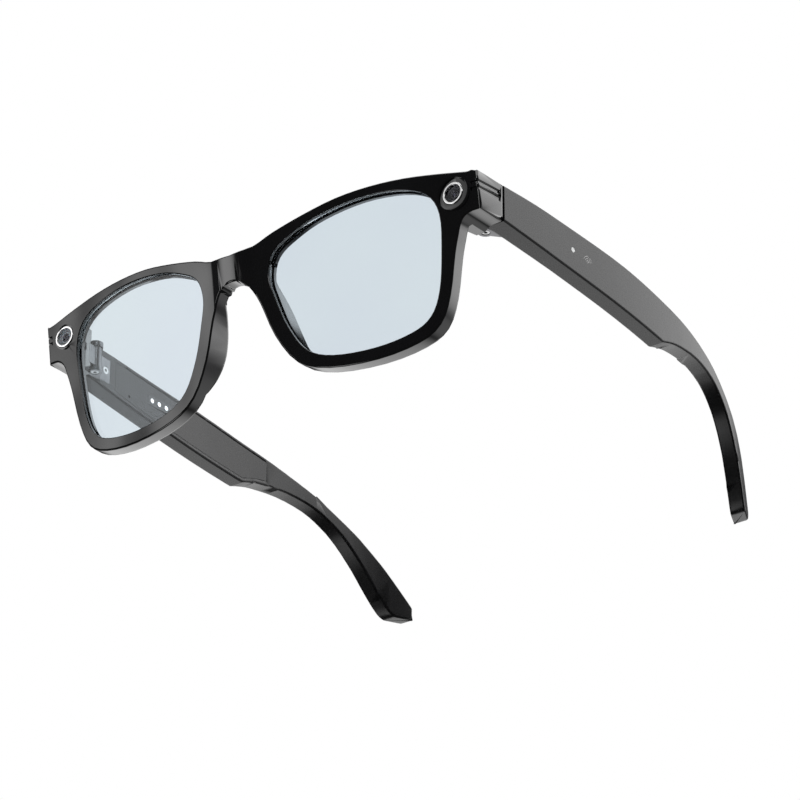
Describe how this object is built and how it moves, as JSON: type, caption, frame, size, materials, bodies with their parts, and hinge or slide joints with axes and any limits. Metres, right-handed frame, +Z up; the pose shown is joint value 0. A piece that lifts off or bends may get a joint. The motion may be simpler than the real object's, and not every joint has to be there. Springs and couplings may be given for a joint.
{
  "type": "smart glasses",
  "caption": "Black smart glasses with a ringed camera and indicator in the end pieces, clear lenses and folding temples that hold the electronics.",
  "frame": {"origin": "middle of the footprint, on the surface that the rims and temple tips stand on", "axes": "+Z up, the front faces -Y, the temples run towards +Y, +X is the wearer's left"},
  "size_m": [0.1512, 0.153, 0.0467],
  "materials": {
    "gloss_black": "polished, injection-moulded black",
    "clear_lens": "clear with a faint coating",
    "bright_ring": "polished bright metal",
    "dark_window": "tinted cover glass",
    "black_barrel": "matt black moulding",
    "coated_glass": "coated lens element",
    "circuit_board": "green solder mask",
    "milky_plastic": "translucent light guide",
    "flex_film": "amber polyimide film",
    "dark_steel": "dark coated steel",
    "dark_leaf": "dark coated steel, satin",
    "screw_steel": "machined steel",
    "satin_black": "black, slightly satin",
    "cover_black": "black, slightly satin",
    "battery_foil": "laminated foil pouch",
    "steel_mesh": "fine dark woven mesh",
    "gold_plate": "gold-plated can",
    "control_black": "satin black",
    "switch_metal": "stamped switch case",
    "contact_plate": "bright plated contact",
    "magnet": "nickel-plated magnet"
  },
  "bodies": {
    "front": {"front_frame": "gloss_black", "lens_left": "clear_lens", "lens_right": "clear_lens", "camera_ring": "bright_ring", "camera_window": "dark_window", "camera_barrel": "black_barrel", "camera_lens": "coated_glass", "camera_board": "circuit_board", "light_ring": "bright_ring", "light_window": "dark_window", "light_guide": "milky_plastic", "light_board": "circuit_board", "brow_flex": "flex_film", "hinge_bracket_left": "dark_steel", "hinge_bracket_right": "dark_steel", "bracket_screws": "screw_steel"},
    "temple_left": {"temple_shell_left": "satin_black", "temple_cover_left": "cover_black", "hinge_leaf_left": "dark_leaf", "hinge_screw_left": "screw_steel", "leaf_screws_left": "screw_steel", "battery_left": "battery_foil", "circuit_board_left": "circuit_board", "touch_pad_left": "flex_film", "status_window_left": "milky_plastic", "status_light_left": "milky_plastic", "speaker_left": "black_barrel", "speaker_mesh_left": "steel_mesh", "microphone_left": "gold_plate", "power_switch_left": "switch_metal"},
    "temple_right": {"temple_shell_right": "satin_black", "temple_cover_right": "cover_black", "hinge_leaf_right": "dark_leaf", "hinge_screw_right": "screw_steel", "leaf_screws_right": "screw_steel", "battery_right": "battery_foil", "circuit_board_right": "circuit_board", "speaker_right": "black_barrel", "speaker_mesh_right": "steel_mesh", "microphone_right": "gold_plate", "button_switch_right": "switch_metal", "charge_pad_right": "cover_black", "charge_contacts": "contact_plate", "charge_magnets": "magnet"},
    "power_slider": {"power_slider": "control_black"},
    "capture_button": {"capture_button": "control_black"}
  },
  "joints": [
    {"name": "temple_left_fold", "type": "hinge", "parent": "front", "child": "temple_left", "pos_m": [0.06605, -0.05286, 0.037], "axis": [0, 0, 1], "range_deg": [0, 88]},
    {"name": "temple_right_fold", "type": "hinge", "parent": "front", "child": "temple_right", "pos_m": [-0.06605, -0.05286, 0.037], "axis": [0, 0, -1], "range_deg": [0, 82]},
    {"name": "power_slide", "type": "slide", "parent": "temple_left", "child": "power_slider", "axis": [0, 1, 0], "range_m": [0, 0.0016]},
    {"name": "capture_press", "type": "slide", "parent": "temple_right", "child": "capture_button", "axis": [0, 0, -1], "range_m": [0, 0.0004], "stiffness_N_per_m": 1500, "springref_m": -0.0002}
  ]
}
